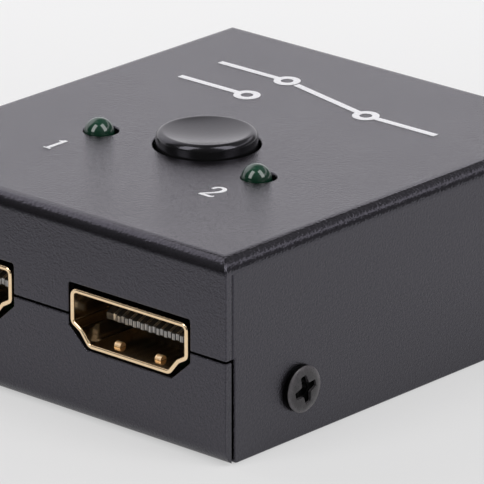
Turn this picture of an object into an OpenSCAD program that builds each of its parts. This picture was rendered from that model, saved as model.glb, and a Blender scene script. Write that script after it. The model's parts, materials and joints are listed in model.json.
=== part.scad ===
// Two-way video switch box: a folded steel cover over a folded tray, two sockets in
// front and one behind, a self-locking push switch and two indicator lamps on a board.
// Millimetres. +Z is up, -Y is the face with two sockets, +X is to the right of
// someone who looks at that face. The origin is the middle of the underside.

/* [Case] */
// Width across the face with two sockets
case_w = 48; // [48:0.5:64]
// Depth from the front face to the rear face
case_d = 54; // [53:0.5:70]
// Height of the flat top
case_h = 20.3; // [20:0.1:26]
// Thickness of the steel sheet
sheet_t = 0.9; // [0.6:0.05:1.1]
// Outside radius of the folds
bend_r = 1.5; // [1.3:0.1:2.2]
// Height of the split between the cover's flanges and the tray's panels
split_z = 10.4; // [9.6:0.1:11.5]
// Width of the split
split_gap = 0.2; // [0.15:0.05:0.6]
// Slit between a flange of the cover and the side wall behind it
corner_slit = 0.1; // [0.06:0.02:0.3]
// Gap between a panel of the tray and the side wall behind it
panel_gap = 0.3; // [0.2:0.05:0.8]
// Set-back of the panels' ends from the side faces
panel_inset = 0.05; // [0.05:0.05:0.5]
// Clearance between the tray's side flanges and the cover's side walls
wall_fit = 0.15; // [0.1:0.05:0.4]
// Height of the tray's side flanges
side_flange_h = 9; // [8:0.5:12]
// Distance from the end of a side flange to the panel's outer face
side_flange_setback = 5; // [4:0.5:7]
// Radius of the lower corners of the side walls
wall_corner_r = 1; // [0.5:0.1:1.5]

/* [Sockets] */
// Distance from a side of the case to the middle of its front socket
socket_inset = 12.65; // [12:0.05:13.5]
// How far the front sockets sit to the right of the case's middle
socket_off = 0.35; // [0:0.05:0.5]
// Height of the sockets' centre line
socket_z = 10.2; // [9.8:0.1:11]
// Outside width of a socket shell
shell_w = 15; // [14.6:0.1:15.4]
// Outside height of a socket shell
shell_h = 5.6; // [5.4:0.1:6]
// Wall of a socket shell
shell_t = 0.45; // [0.3:0.05:0.6]
// Length of a socket shell
shell_len = 11.6; // [10.5:0.1:12.5]
// How far a shell's mouth stands out of the case
shell_proud = 0.05; // [0:0.05:0.6]
// Height of the upright part of a shell's sides
shell_side_h = 3.55; // [3.2:0.05:3.8]
// Width of a shell at the step in its lower corners
shell_step_w = 12.7; // [12.4:0.1:13.4]
// Drop of the step below the upright sides
shell_step_drop = 0.65; // [0.5:0.05:0.8]
// Width of a shell's narrow underside
shell_foot_w = 10.4; // [9.8:0.1:11]
// Gap between a shell and the sides and foot of its opening in the case
cutout_gap = 0.25; // [0.15:0.05:0.4]
// Gap between a shell and the top of its opening
cutout_top_gap = 0.5; // [0.3:0.05:0.7]
// Width of the tongue in a socket
tongue_w = 11.2; // [10.8:0.1:11.4]
// Thickness of the tongue
tongue_t = 1.2; // [1.1:0.1:1.4]
// Height of the tongue's blunt tip
tip_h = 0.7; // [0.6:0.05:0.9]
// How far the tongue's middle lies below the socket's centre line
tongue_drop = 0.1; // [0:0.05:0.3]
// Depth of the tongue's tip behind the mouth
tongue_recess = 3; // [2.4:0.1:3.2]
// Length of the insulator block at the back of a shell
block_len = 3.6; // [2.5:0.1:4.5]
// Contacts on the upper face of a tongue
upper_contacts = 10; // [6:1:10]
// Distance between neighbouring contacts
contact_pitch = 1; // [0.9:0.05:1.05]
// Width of a contact
contact_w = 0.35; // [0.25:0.05:0.4]
// Thickness of a contact
contact_t = 0.2; // [0.12:0.02:0.25]
// Height of a rolled spring rib in a shell
rib_h = 0.45; // [0.3:0.05:0.5]

/* [Button] */
// Diameter of the button
cap_d = 10; // [9:0.1:12]
// Height of the button
cap_h = 4.45; // [4.2:0.05:5.2]
// How far the button stands above the case
cap_proud = 1.35; // [1.2:0.05:2.5]
// Gap between the button and its hole
cap_gap = 0.3; // [0.2:0.05:0.6]
// Wall of the button's skirt
cap_wall = 1; // [0.7:0.1:1.5]
// Radius of the button's rim
cap_rim_r = 0.4; // [0.2:0.05:0.6]
// Depth of the dish in the button's top
dish_depth = 0.5; // [0.2:0.05:0.6]
// Distance of the button behind the front face
button_setback = 23.8; // [22.5:0.1:26]
// Full travel of the button
press_travel = 1.5; // [1:0.1:1.6]
// Least room under the pressed button
cap_clear = 0.3; // [0.2:0.05:0.6]

/* [Push switch] */
// Width of the switch housing
switch_w = 8.5; // [8.2:0.1:9.5]
// Wall of the switch housing
switch_wall = 0.8; // [0.6:0.05:0.9]
// Thickness of the housing's top
switch_roof = 1; // [0.8:0.1:1.2]
// Thickness of the switch base
base_t = 1.2; // [1.1:0.1:1.4]
// Side of the plunger's square stem
stem_w = 3; // [2.6:0.1:3.4]
// Running clearance around the stem
stem_fit = 0.08; // [0.05:0.01:0.15]
// Width of the slider at the foot of the plunger
slider_w = 5.2; // [4.8:0.1:5.3]
// Depth of the slider from front to back
slider_d = 4.6; // [4.4:0.1:4.8]
// Height of the slider
slider_h = 3.4; // [3.2:0.1:3.5]
// Diameter of the wire of the latch pin
latch_wire_d = 0.35; // [0.3:0.01:0.4]
// Sideways reach of the latch pin's tip
latch_reach = 1; // [0.9:0.05:1.2]
// Outside diameter of the return spring
spring_d = 2.2; // [1.9:0.1:2.3]
// Wire of the return spring
spring_wire_d = 0.25; // [0.2:0.01:0.3]
// Turns of the return spring
spring_turns = 4.5; // [3.5:0.5:5]

/* [Lamps] */
// Diameter of a lamp
led_d = 3; // [2.8:0.1:3.2]
// Length of a lamp from its flange to its top
led_len = 5.3; // [4.5:0.1:6]
// How far a lamp stands above the case
led_proud = 1.3; // [1.2:0.1:2]
// Gap between a lamp and its hole
led_gap = 0.25; // [0.2:0.05:0.5]
// Distance from a side of the case to the middle of its lamp's hole
led_inset = 13.7; // [13:0.05:14.5]
// How far the lamps sit to the left in their holes
led_off = 0.15; // [0:0.05:0.15]
// How far the lamps sit towards the front in their holes
led_off_front = 0.13; // [0:0.01:0.13]
// Distance of the lamps behind the front face
led_setback = 19.8; // [18:0.1:23]
// Distance between the two leads of a lamp
lead_spacing = 2.54; // [2:0.02:2.6]
// Side of a lead
lead_w = 0.45; // [0.4:0.05:0.5]

/* [Board and screws] */
// Thickness of the circuit board
board_t = 1.6; // [1.2:0.1:2]
// Gap between the board and the panels
board_end_gap = 0.7; // [0.4:0.1:1.2]
// Gap between the board and the tips of the cover screws
board_side_gap = 0.5; // [0.3:0.1:1]
// Diameter of a standoff
standoff_d = 4.2; // [4:0.1:4.6]
// Distance of the standoffs from the board's edges
standoff_inset = 3; // [2.6:0.1:3.5]
// Thread of the board screws
board_screw_d = 2; // [1.6:0.1:2.2]
// Head of the board screws
board_head_d = 3.8; // [3.4:0.1:4]
// Thread of the cover screws
cover_screw_d = 2.5; // [2:0.1:2.6]
// Length of the cover screws under their heads
cover_screw_len = 4; // [3.4:0.1:4.2]
// Head of the cover screws
cover_head_d = 4.6; // [4.2:0.1:5.2]
// Height of the heads of the cover screws
cover_head_h = 0.9; // [0.7:0.05:1.2]
// Distance of the cover screws from the front and rear faces
cover_screw_inset = 10.3; // [8:0.1:12]
// Height of the cover screws
cover_screw_z = 5; // [4.5:0.1:5.2]

/* [Hidden] */
$fn = 48;

// Extra length of a cutter past the face that it cuts
over = 1;
// Radial play of a screw in its thread
thread_fit = 0.05;
// Radial play of a screw in a clearance hole
screw_clear = 0.2;
// Play of a pin or leg in its hole in the board or the switch base
pin_fit = 0.1;
// Play of an insulator in its shell
insulator_fit = 0.05;

// Dome of the screw heads, and their cross recess as shares of the head
head_dome = 0.3;
cross_len_share = 0.62;
cross_tip_share = 0.15;
cross_root_share = 0.22;
cross_round_share = 0.03;
cross_cone_share = 0.3;
cross_depth = 0.6;
cross_cone_depth = 0.25;
cross_turn = 14;

// Case
front_y = -case_d / 2;
side_x = case_w / 2;
bend_in_r = bend_r - sheet_t;
panel_top = split_z - split_gap;
wall_half = case_d / 2 - sheet_t - panel_gap;
floor_w = case_w - 2 * (sheet_t + wall_fit);
side_flange_len = case_d - 2 * side_flange_setback;
collar_wall = 0.8;
collar_d = cover_screw_d + 2 * collar_wall;
collar_len = 0.8;
cover_screw_y = case_d / 2 - cover_screw_inset;

// Socket outline as corners [x, z] with their radii, counter-clockwise, from its centre
shell_top = shell_h / 2;
shell_side_foot = shell_top - shell_side_h;
socket_corners = [[shell_w / 2, shell_top], [-shell_w / 2, shell_top],
                  [-shell_w / 2, shell_side_foot],
                  [-shell_step_w / 2, shell_side_foot - shell_step_drop],
                  [-shell_foot_w / 2, -shell_top], [shell_foot_w / 2, -shell_top],
                  [shell_step_w / 2, shell_side_foot - shell_step_drop],
                  [shell_w / 2, shell_side_foot]];
socket_radii = [0.8, 0.8, 0.7, 0.8, 0.9, 0.9, 0.8, 0.7];
arc_steps = 5;
least_corner_r = 0.1;

// Opening for a socket in the same way: upright sides, then straight down to the foot
cutout_half = shell_w / 2 + cutout_gap;
cutout_foot_half = shell_foot_w / 2 + cutout_gap;
cutout_corner_r = 0.3;
cutout_corners = [[cutout_half, shell_top + cutout_top_gap], [-cutout_half, shell_top + cutout_top_gap],
                  [-cutout_half, shell_side_foot - cutout_gap],
                  [-cutout_foot_half, -shell_top - cutout_gap],
                  [cutout_foot_half, -shell_top - cutout_gap],
                  [cutout_half, shell_side_foot - cutout_gap]];

// Socket pieces, along a socket's own depth from its mouth
block_y = shell_len - block_len;
leg_w = 1.4;
leg_depths = [3.6, shell_len - 1.6];
leg_out = 0.6;
leg_root = 0.6;
rib_r = 0.4;
rib_w = 0.75;
rib_x = 2.6;
rib_depth = 1.65;
finger_w = 2;
finger_len = 4.6;
finger_slot = 0.4;
finger_depth = 2.4;
finger_tip = 1.1;
tongue_low = -tongue_drop - tongue_t / 2;
tongue_high = tongue_low + tongue_t;
tip_top = tongue_low + tip_h;
tip_slope_len = 1.2;
tip_lip = 0.1;
tail_gap = 0.3;
tail_step = 0.5;
foot_len = 0.6;
tail_reach = tail_gap + tail_step + contact_t + foot_len;

// Board
board_top = socket_z - shell_h / 2;
board_bottom = board_top - board_t;
board_w = case_w - 2 * (cover_screw_len + board_side_gap);
board_d = case_d - 2 * (sheet_t + board_end_gap);
standoff_tail_gap = 1;
standoff_x = board_w / 2 - standoff_inset;
standoff_rear_y = board_d / 2 - standoff_inset;
standoff_front_y = front_y - shell_proud + shell_len + tail_reach + standoff_d / 2 + standoff_tail_gap;
standoff_places = [[-standoff_x, standoff_front_y], [standoff_x, standoff_front_y],
                   [-standoff_x, standoff_rear_y], [standoff_x, standoff_rear_y]];
spigot_d = standoff_d - 1;
spigot_recess = 0.1;
board_head_h = 1.3;
board_screw_grip = 2.6;
board_screw_len = board_t + board_screw_grip;

// Button and push switch
button_y = front_y + button_setback;
cap_top = case_h + cap_proud;
cap_bottom = cap_top - cap_h;
cap_roof = 1;
dish_land = 0.05;
stem_top = cap_top - dish_depth - cap_roof;
hub_wall = 0.6;
hub_d = stem_w * sqrt(2) + 2 * hub_wall;
cap_fit = 0.03;
switch_top = cap_bottom - press_travel - cap_clear;
base_top = board_top + base_t;
stop_gap = 0.1;
slider_top = switch_top - switch_roof - stop_gap;
slider_bottom = slider_top - slider_h;
cavity_w = switch_w - 2 * switch_wall;
spring_play = 0.2;
spring_pocket_d = spring_d + 2 * spring_play;
spring_pocket_h = 1.6;
spring_top = slider_bottom + spring_pocket_h;
spring_post_d = spring_d - 2 * spring_wire_d - 2 * spring_play;
spring_post_h = 0.8;

// Latch pin and the heart-shaped track that it follows
latch_face_gap = 0.25;
latch_y = -slider_d / 2 - latch_face_gap - latch_wire_d / 2;
latch_pivot_z = board_top + base_t / 2;
latch_start = 0.6;
latch_len = slider_bottom + latch_start - latch_pivot_z;
latch_bend_r = 0.45;
latch_angle = asin(latch_reach / latch_len);
latch_end = latch_start + press_travel - latch_len * (1 - cos(latch_angle));
latch_hold = 0.95;
latch_notch = latch_start + latch_hold;
track_play = 0.1;
track_w = latch_wire_d + 2 * track_play;
track_depth = 0.6;
track_floor_gap = 0.12;
latch_pivot_fit = 0.05;
latch_slot_play = 0.4;
latch_slot_w = latch_wire_d + 2 * latch_slot_play;
window_play = 0.5;
window_w = 2 * (latch_reach + window_play) + latch_wire_d;
leaf_t = 0.2;
leaf_margin = 1;
leaf_over = 2.1;
leaf_h = latch_pivot_z + latch_len + leaf_over - base_top;
window_h = leaf_h - 2 * leaf_margin;

// Contacts of the push switch
terminal_pitch = 2.2;
terminal_w = 0.9;
terminal_t = 0.3;
terminal_wall_gap = 0.05;
terminal_x = cavity_w / 2 - terminal_wall_gap - terminal_t;
terminal_out = 1;
terminal_hole_d = norm([terminal_w, terminal_t]) + 2 * pin_fit;
wipe_gap = 0.12;
clip_len = 3;
clip_h = 1.4;
clip_rise = 0.9;
clip_z = slider_bottom + clip_rise;
wipe_lap = 0.2;
terminal_top = clip_z + wipe_lap;

// Lamps
led_y = front_y + led_setback;
led_top = case_h + led_proud;
led_base = led_top - led_len;
led_flange_rim = 0.45;
led_flange_d = led_d + 2 * led_flange_rim;
led_flange_h = 1;
lead_out = 1.2;
lead_hole_d = lead_w * sqrt(2) + 2 * pin_fit;

// Small parts on the board
chip_y = (button_y + switch_w / 2 + case_d / 2 + shell_proud - shell_len - tail_reach) / 2;
chip_size = [9, 3.5, 0.85];
chip_mark_d = 0.7;
chip_mark_depth = 0.1;
chip_mark_inset = 0.8;
capacitor_size = [1.6, 0.8, 0.8];
capacitor_pitch = 2;
capacitor_gap = 0.6;
resistor_size = [1.6, 0.8, 0.5];
resistor_gap = 1;

// Unit vector, and the normal to the right of a direction
function unit(v) = v / norm(v);
function right_of(v) = [v[1], -v[0]];

// Corner i of a counter-clockwise outline, moved outward by grow
function grown_corner(p, i, grow) =
    let (n = len(p),
         a = right_of(unit(p[i] - p[(i + n - 1) % n])),
         b = right_of(unit(p[(i + 1) % n] - p[i])))
    p[i] + grow * (a + b) / (1 + a * b);

// Points of the arc of radius r that rounds corner b between a and c
function corner_arc(a, b, c, r) =
    let (u = unit(a - b),
         v = unit(c - b),
         half = acos(u * v) / 2,
         centre = b + unit(u + v) * r / sin(half),
         start = b + u * r / tan(half) - centre,
         turn = cross(u, v) < 0 ? 180 - 2 * half : 2 * half - 180)
    [for (k = [0 : arc_steps])
        let (t = turn * k / arc_steps)
        centre + [start[0] * cos(t) - start[1] * sin(t), start[0] * sin(t) + start[1] * cos(t)]];

// Outline with its corners rounded by the radii
function rounded(p, radii) =
    let (n = len(p))
    [for (i = [0 : n - 1]) each corner_arc(p[(i + n - 1) % n], p[i], p[(i + 1) % n], radii[i])];

// Sharp corners of the socket outline moved outward by grow, and whether each is convex
function socket_sharp(grow) =
    [for (i = [0 : len(socket_corners) - 1]) grown_corner(socket_corners, i, grow)];
function is_convex(p, i) =
    cross(p[i] - p[(i + len(p) - 1) % len(p)], p[(i + 1) % len(p)] - p[i]) > 0;

// Rounded socket outline moved outward by grow
function socket_points(grow) =
    let (p = socket_sharp(grow))
    rounded(p, [for (i = [0 : len(p) - 1])
        max(socket_radii[i] + (is_convex(p, i) ? grow : -grow), least_corner_r)]);

// Point turned about the origin
function turned(p, angle) =
    [p[0] * cos(angle) - p[1] * sin(angle), p[0] * sin(angle) + p[1] * cos(angle)];

// Cross recess of a screw head of diameter d: arms that taper outward, all corners rounded
function cross_points(d) =
    let (corners = [[cross_len_share, -cross_tip_share], [cross_len_share, cross_tip_share],
                    [cross_root_share, cross_root_share]] * d / 2)
    rounded([for (q = [0 : 3], c = corners) turned(c, 90 * q + cross_turn)],
            [for (i = [0 : 4 * len(corners) - 1]) cross_round_share * d]);

// Extrusions along X and Y of a profile drawn in the vertical plane, both centred
module along_x(length) {
    rotate([90, 0, 90]) linear_extrude(length, center = true) children();
}
module along_y(length) {
    rotate([90, 0, 0]) linear_extrude(length, center = true) children();
}

// Folded sheet seen from its end: w wide, h high, upper corners of radius r, open end at -drop
module fold_profile(w, h, r, drop = 0) {
    translate([-w / 2, -drop]) square([w, h - r + drop]);
    translate([r - w / 2, -drop]) square([w - 2 * r, h + drop]);
    for (s = [-1, 1]) translate([s * (w / 2 - r), h - r]) circle(r);
}

// The same with the folds at the bottom, from z = 0 up to h
module tray_profile(w, h, r, drop = 0) {
    translate([0, h]) mirror([0, 1]) fold_profile(w, h, r, drop);
}

// Straight slot with round ends from p to q
module slot_profile(p, q, w) {
    run = q - p;
    translate(p) rotate(atan2(run[1], run[0])) translate([0, -w / 2]) square([norm(run), w]);
    translate(p) circle(d = w);
    translate(q) circle(d = w);
}

// Block with a flat underside and the two sets of folds along its top
module cover_block(inset, r, drop) {
    intersection() {
        along_x(case_w + over) fold_profile(case_d - 2 * inset, case_h - inset, r, drop);
        along_y(case_d + over) fold_profile(case_w - 2 * inset, case_h - inset, r, drop);
    }
}

// Places of the sockets: side is -1 or 1 in front, 0 behind
module at_socket(side) {
    if (side == 0) rotate([0, 0, 180]) translate([0, front_y - shell_proud, socket_z]) children();
    else translate([side * (side_x - socket_inset) + socket_off, front_y - shell_proud, socket_z]) children();
}

// Socket outline extruded from depth a to depth b behind the mouth
module socket_prism(a, b, grow) {
    translate([0, b, 0]) rotate([90, 0, 0]) linear_extrude(b - a) polygon(socket_points(grow));
}

// Openings for all three sockets, cut through the front and rear of the case
module socket_cutouts() {
    for (side = [-1, 0, 1]) at_socket(side) {
        translate([0, shell_proud + sheet_t / 2, 0]) along_y(sheet_t + 2 * over) {
            polygon(rounded(cutout_corners, [for (c = cutout_corners) cutout_corner_r]));
        }
    }
}

// Places of the four cover screws, with +z outward through the side wall from the middle
module at_cover_screws() {
    for (s = [-1, 1], t = [-1, 1]) {
        translate([0, t * cover_screw_y, cover_screw_z]) rotate([0, s * 90, 0]) children();
    }
}

// Pan head on the plane z = 0 with a cross recess in its domed top
module screw_head(d, h) {
    dome_r = (d * d / 4 + head_dome * head_dome) / (2 * head_dome);
    difference() {
        intersection() {
            cylinder(h = h, d = d);
            translate([0, 0, h - dome_r]) sphere(dome_r, $fn = 96);
        }
        translate([0, 0, h - cross_depth]) linear_extrude(h) polygon(cross_points(d));
        translate([0, 0, h - cross_depth - cross_cone_depth]) {
            cylinder(h = cross_cone_depth, d1 = 0, d2 = cross_cone_share * d);
        }
    }
}

module top_cover() {
    color([0.22, 0.22, 0.24]) difference() {
        intersection() {
            difference() {
                cover_block(0, bend_r, 0);
                cover_block(sheet_t, bend_in_r, over);
            }
            along_x(case_w + 2 * over) {
                translate([front_y, split_z]) square([case_d, case_h - split_z]);
                tray_profile(2 * wall_half, split_z + over, wall_corner_r);
            }
        }
        for (s = [-1, 1], t = [-1, 1]) scale([s, t, 1]) corner_slit_cut();
        socket_cutouts();
        translate([0, button_y, 0]) cylinder(h = case_h + over, d = cap_d + 2 * cap_gap);
        for (s = [-1, 1]) {
            at_led_hole(s) cylinder(h = case_h + over, d = led_d + 2 * led_gap);
        }
        at_cover_screws() translate([0, 0, side_x - sheet_t - over]) {
            cylinder(h = sheet_t + 2 * over, r = cover_screw_d / 2 + screw_clear);
        }
    }
}

// Slit that frees the right end of the rear flange from the side wall
module corner_slit_cut() {
    translate([side_x - sheet_t, case_d / 2 - sheet_t - corner_slit, split_z - over]) {
        cube([sheet_t + over, corner_slit, case_h - bend_r - split_z + over]);
    }
}

module bottom_tray() {
    color([0.22, 0.22, 0.24]) difference() {
        union() {
            tray_floor_and_panels();
            tray_side_flanges();
        }
        socket_cutouts();
        at_cover_screws() translate([0, 0, board_w / 2]) {
            cylinder(h = side_x - board_w / 2, r = cover_screw_d / 2 + thread_fit);
        }
        for (p = standoff_places) translate([p[0], p[1], -over]) {
            cylinder(h = sheet_t + 2 * over, d = spigot_d);
        }
    }
}

// Floor between the side flanges, with the front and rear panels folded up from it
module tray_floor_and_panels() {
    difference() {
        along_x(case_w - 2 * panel_inset) difference() {
            tray_profile(case_d, panel_top, bend_r);
            tray_profile_inside(case_d, panel_top);
        }
        for (s = [-1, 1]) {
            translate([s * (floor_w / 2 + over), 0, 0]) {
                cube([2 * over, case_d - 2 * sheet_t, 2 * panel_top], center = true);
            }
            translate([s * (floor_w / 2 - bend_r + over), 0, 0]) {
                cube([2 * over, side_flange_len, 2 * panel_top], center = true);
            }
        }
    }
}

// Room inside a tray profile of sheet metal
module tray_profile_inside(w, h) {
    translate([0, h + over]) mirror([0, 1]) {
        fold_profile(w - 2 * sheet_t, h + over - sheet_t, bend_in_r, 0);
    }
}

// Side flanges folded up from the floor, with collars for the cover screws
module tray_side_flanges() {
    along_y(side_flange_len) difference() {
        tray_profile(floor_w, side_flange_h, bend_r);
        tray_profile_inside(floor_w, side_flange_h);
        square([floor_w - 2 * bend_r, 2 * sheet_t + 2 * over], center = true);
    }
    at_cover_screws() translate([0, 0, floor_w / 2 - sheet_t - collar_len]) {
        cylinder(h = collar_len + sheet_t / 2, d = collar_d);
    }
}

module cover_screws() {
    color([0.08, 0.08, 0.08]) at_cover_screws() {
        translate([0, 0, side_x]) screw_head(cover_head_d, cover_head_h);
        translate([0, 0, side_x - cover_screw_len]) cylinder(h = cover_screw_len, d = cover_screw_d);
    }
}

module board_standoffs() {
    color([0.78, 0.66, 0.35]) for (p = standoff_places) translate([p[0], p[1], 0]) difference() {
        union() {
            translate([0, 0, sheet_t]) cylinder(h = board_bottom - sheet_t, d = standoff_d);
            translate([0, 0, spigot_recess]) cylinder(h = sheet_t, d = spigot_d);
        }
        translate([0, 0, board_top - board_screw_len - over / 2]) {
            cylinder(h = board_screw_len + over, r = board_screw_d / 2 + thread_fit);
        }
    }
}

module board_screws() {
    color([0.75, 0.75, 0.78]) for (p = standoff_places) translate([p[0], p[1], board_top]) {
        screw_head(board_head_d, board_head_h);
        translate([0, 0, -board_screw_len]) cylinder(h = board_screw_len, d = board_screw_d);
    }
}

module circuit_board() {
    color([0.05, 0.32, 0.16]) difference() {
        translate([-board_w / 2, -board_d / 2, board_bottom]) cube([board_w, board_d, board_t]);
        for (p = standoff_places) translate([p[0], p[1], board_bottom - over]) {
            cylinder(h = board_t + 2 * over, r = board_screw_d / 2 + screw_clear);
        }
        for (side = [-1, 0, 1]) at_socket(side) shell_legs(pin_fit);
        for (s = [-1, 1]) at_led(s) lead_places() {
            translate([0, 0, board_bottom - over]) cylinder(h = board_t + 2 * over, d = lead_hole_d);
        }
        terminal_places() translate([terminal_t / 2, 0, board_bottom - over]) {
            cylinder(h = board_t + 2 * over, d = terminal_hole_d);
        }
    }
}

// Four legs that carry a shell's sides down through the board
module shell_legs(grow = 0) {
    leg_foot = -shell_h / 2 - board_t - leg_out;
    leg_h = shell_side_foot + leg_root - leg_foot;
    for (s = [-1, 1], depth = leg_depths) {
        translate([s * (shell_w - shell_t) / 2, depth, leg_foot + leg_h / 2]) {
            cube([shell_t + 2 * grow, leg_w + 2 * grow, leg_h], center = true);
        }
    }
}

// Spring ribs across the upper fingers and the lower wall of a shell
module shell_ribs() {
    inside = shell_h / 2 - shell_t;
    for (s = [-1, 1], up = [-1, 1]) {
        depth = up > 0 ? finger_depth + finger_tip : rib_depth;
        translate([s * rib_x, depth, up * inside]) intersection() {
            translate([0, 0, up * (rib_r - rib_h)]) {
                rotate([0, 90, 0]) cylinder(h = rib_w, r = rib_r, center = true);
            }
            translate([0, 0, up * (shell_t / 2 - rib_h) / 2]) {
                cube([2 * rib_w, 4 * rib_r, rib_h + shell_t / 2], center = true);
            }
        }
    }
}

// Slots that free the two spring fingers in a shell's upper wall
module finger_slots() {
    slot_h = shell_t + 2 * over;
    for (s = [-1, 1]) translate([s * rib_x, finger_depth, shell_h / 2 - shell_t - over]) {
        for (t = [-1, 1]) translate([t * (finger_w + finger_slot) / 2 - finger_slot / 2, 0, over / 2]) {
            cube([finger_slot, finger_len, slot_h]);
        }
        translate([-finger_w / 2 - finger_slot, -finger_slot, over / 2]) {
            cube([finger_w + 2 * finger_slot, finger_slot, slot_h]);
        }
    }
}

module socket_shell() {
    color([0.83, 0.68, 0.36]) {
        difference() {
            union() {
                socket_prism(0, shell_len, 0);
                shell_legs();
            }
            socket_prism(-over, shell_len + over, -shell_t);
            finger_slots();
        }
        shell_ribs();
    }
}

// Stamped contact seen from the side: upper or lower row, its end bent over the tongue's tip
module contact_profile(upper) {
    tip = tongue_recess;
    start = tip + (upper ? tip_slope_len : 0);
    low = upper ? tongue_high - contact_t : tongue_low;
    tail = shell_len + tail_gap + (upper ? tail_step : 0);
    translate([start, low]) square([tail + contact_t - start, contact_t]);
    translate([tail, -shell_h / 2]) square([contact_t, low + contact_t + shell_h / 2]);
    translate([tail, -shell_h / 2]) square([contact_t + foot_len, contact_t]);
    if (upper) {
        polygon([[tip, tongue_low + tip_lip], [tip + contact_t, tongue_low + tip_lip],
                 [tip + contact_t, tip_top - contact_t], [start, low], [start, tongue_high], [tip, tip_top]]);
    } else {
        translate([tip, low]) square([contact_t, tip_h - tip_lip]);
    }
}

module socket_contacts() {
    color([0.8, 0.8, 0.78]) {
        contact_row(upper_contacts, true);
        contact_row(upper_contacts - 1, false);
    }
}

// Outside of the tongue that a contact's slot opens through, seen from the side
module slot_mouth_profile(upper) {
    tip = tongue_recess;
    mid = contact_t / 2;
    if (upper) {
        start = tip + tip_slope_len;
        polygon([[tip - over, tongue_low + tip_lip], [tip + mid, tongue_low + tip_lip],
                 [tip + mid, tip_top - mid], [start, tongue_high - mid], [block_y, tongue_high],
                 [start, tongue_high + over], [tip - over, tip_top + over]]);
    } else {
        polygon([[tip - over, tip_top - tip_lip], [tip - over, tongue_low - over], [tip, tongue_low - over],
                 [block_y, tongue_low], [tip + mid, tongue_low + mid], [tip + mid, tip_top - tip_lip]]);
    }
}

// Row of contacts side by side, or of the slots that they lie in, centred on the socket
module contact_row(count, upper, slot = false) {
    for (i = [0 : count - 1]) translate([(i - (count - 1) / 2) * contact_pitch, 0, 0]) {
        along_x(contact_w) {
            contact_profile(upper);
            if (slot) slot_mouth_profile(upper);
        }
    }
}

module socket_insulator() {
    tip = tongue_recess;
    root = shell_len - block_len / 2;
    color([0.05, 0.05, 0.05]) difference() {
        union() {
            socket_prism(block_y, shell_len, -shell_t - insulator_fit);
            along_x(tongue_w) polygon([[tip, tongue_low], [root, tongue_low], [root, tongue_high],
                                       [tip + tip_slope_len, tongue_high], [tip, tip_top]]);
        }
        contact_row(upper_contacts, true, slot = true);
        contact_row(upper_contacts - 1, false, slot = true);
    }
}

module button_cap() {
    // Radius of the ball that leaves the dish inside the rounded rim
    dish_half = cap_d / 2 - cap_rim_r - dish_land;
    dish_r = (dish_half * dish_half + dish_depth * dish_depth) / (2 * dish_depth);
    inner_d = cap_d - 2 * cap_wall;
    color([0.03, 0.03, 0.03]) translate([0, button_y, cap_bottom]) difference() {
        rotate_extrude($fn = 96) {
            square([cap_d / 2, cap_h - cap_rim_r]);
            square([cap_d / 2 - cap_rim_r, cap_h]);
            translate([cap_d / 2 - cap_rim_r, cap_h - cap_rim_r]) circle(cap_rim_r);
        }
        translate([0, 0, cap_h - dish_depth + dish_r]) sphere(dish_r, $fn = 128);
        translate([0, 0, -over]) difference() {
            cylinder(h = cap_h - dish_depth - cap_roof + over, d = inner_d);
            cylinder(h = cap_h, d = hub_d);
        }
        translate([0, 0, -over]) linear_extrude(stem_top - cap_bottom + over) {
            square(stem_w + 2 * cap_fit, center = true);
        }
    }
}

module switch_plunger() {
    color([0.9, 0.9, 0.88]) translate([0, button_y, 0]) {
        translate([-stem_w / 2, -stem_w / 2, slider_top]) cube([stem_w, stem_w, stem_top - slider_top]);
        difference() {
            translate([-slider_w / 2, -slider_d / 2, slider_bottom]) cube([slider_w, slider_d, slider_h]);
            translate([0, 0, slider_bottom - over]) {
                cylinder(h = spring_pocket_h + over, d = spring_pocket_d);
            }
            translate([0, track_depth - slider_d / 2, slider_bottom]) rotate([90, 0, 0]) {
                linear_extrude(track_depth + over) latch_track();
            }
        }
    }
}

// Heart-shaped track: up one leg on the press, into the notch, down the other leg on release
module latch_track() {
    start = [0, latch_start];
    notch = [0, latch_notch];
    for (s = [-1, 1]) {
        slot_profile(start, [s * latch_reach, latch_end], track_w);
        slot_profile([s * latch_reach, latch_end], notch, track_w);
    }
}

module contact_clips() {
    clip_out = terminal_x - wipe_gap;
    color([0.85, 0.72, 0.42]) translate([0, button_y, clip_z]) for (s = [-1, 1]) {
        translate([s * (slider_w / 2 + clip_out) / 2, 0, clip_h / 2]) {
            cube([clip_out - slider_w / 2, clip_len, clip_h], center = true);
        }
    }
}

// Return spring as one tube swept along a helix
spring_rings_per_turn = 12;
spring_sides = 6;
spring_z0 = base_top + spring_wire_d / 2;
spring_z1 = spring_top - spring_wire_d / 2;
spring_r = (spring_d - spring_wire_d) / 2;
spring_rings = ceil(spring_turns * spring_rings_per_turn);
spring_pitch = (spring_z1 - spring_z0) / spring_turns;
echo(least_gap_between_spring_turns = spring_pitch - spring_wire_d);

// Point k of ring i of the spring's wire
function spring_point(i, k) =
    let (turn = 360 * spring_turns * i / spring_rings,
         side = 360 * k / spring_sides,
         r = spring_r + spring_wire_d / 2 * cos(side))
    [r * cos(turn), r * sin(turn),
     spring_z0 + (spring_z1 - spring_z0) * i / spring_rings + spring_wire_d / 2 * sin(side)];

// Two triangles between rings i and i + 1 at side k
function spring_faces(i, k) =
    let (a = i * spring_sides + k,
         b = i * spring_sides + (k + 1) % spring_sides)
    [[a, a + spring_sides, b], [b, a + spring_sides, b + spring_sides]];

// Triangle k of the fan that closes ring i
function spring_cap(i, k, flip) =
    let (a = i * spring_sides)
    flip ? [a, a + k + 1, a + k] : [a, a + k, a + k + 1];

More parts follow.
